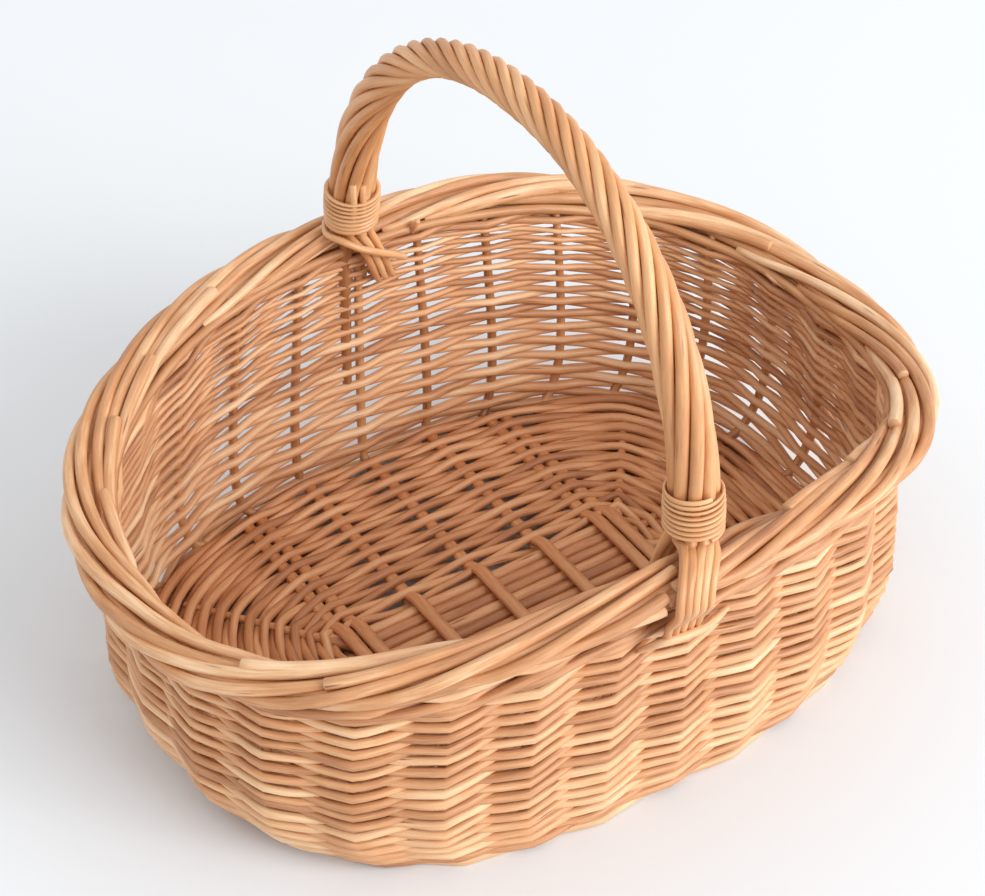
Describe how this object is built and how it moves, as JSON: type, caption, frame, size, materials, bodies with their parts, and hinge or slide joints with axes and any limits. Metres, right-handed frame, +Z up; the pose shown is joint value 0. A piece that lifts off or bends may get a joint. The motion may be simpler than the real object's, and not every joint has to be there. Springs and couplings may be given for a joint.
{
  "type": "oval wicker basket",
  "caption": "Oval willow shopping basket with randed sides, a thick rod border and a fixed bow handle wrapped like a rope.",
  "frame": {"origin": "on the floor under the middle of the basket's bounding box", "axes": "+Z up, +X along the length of the oval, +Y towards the far foot of the handle"},
  "size_m": [0.4413, 0.3386, 0.33],
  "materials": {
    "base_rods": "peeled buff willow, satin",
    "base_sticks": "thicker buff willow, satin, darker",
    "base_weave": "woven buff willow, satin",
    "wales": "woven buff willow, satin",
    "siding": "randed buff willow, satin with pale highlights",
    "border": "thick buff willow rods, satin",
    "stakes": "buff willow uprights, satin",
    "handle_bow": "willow rod, hidden by the strands",
    "handle_strands": "buff willow rods, satin, palest of all",
    "cane_binding": "split cane, smooth and slightly glossy"
  },
  "bodies": {
    "root": {"base_long_rod_1": "base_rods", "base_long_rod_2": "base_rods", "base_long_rod_3": "base_rods", "base_long_rod_4": "base_rods", "base_long_rod_5": "base_rods", "base_long_rod_6": "base_rods", "base_long_rod_7": "base_rods", "base_cross_stick_1": "base_sticks", "base_cross_stick_2": "base_sticks", "base_cross_stick_3": "base_sticks", "base_cross_stick_4": "base_sticks", "base_cross_stick_5": "base_sticks", "base_cross_stick_6": "base_sticks", "base_cross_stick_7": "base_sticks", "base_weave": "base_weave", "upsett_wale": "wales", "siding": "siding", "top_wale": "wales", "border": "border", "stake_01": "stakes", "stake_02": "stakes", "stake_03": "stakes", "stake_04": "stakes", "stake_05": "stakes", "stake_06": "stakes", "stake_07": "stakes", "stake_08": "stakes", "stake_09": "stakes", "stake_10": "stakes", "stake_11": "stakes", "stake_12": "stakes", "stake_13": "stakes", "stake_14": "stakes", "stake_15": "stakes", "stake_16": "stakes", "stake_17": "stakes", "stake_18": "stakes", "stake_19": "stakes", "stake_20": "stakes", "stake_21": "stakes", "stake_22": "stakes", "stake_23": "stakes", "stake_24": "stakes", "stake_25": "stakes", "stake_26": "stakes", "stake_27": "stakes", "stake_28": "stakes", "handle_bow": "handle_bow", "handle_strand_1": "handle_strands", "handle_strand_2": "handle_strands", "handle_strand_3": "handle_strands", "handle_strand_4": "handle_strands", "handle_strand_5": "handle_strands", "handle_strand_6": "handle_strands", "handle_strand_7": "handle_strands", "handle_strand_8": "handle_strands", "handle_binding_back": "cane_binding", "handle_binding_front": "cane_binding"}
  },
  "joints": []
}
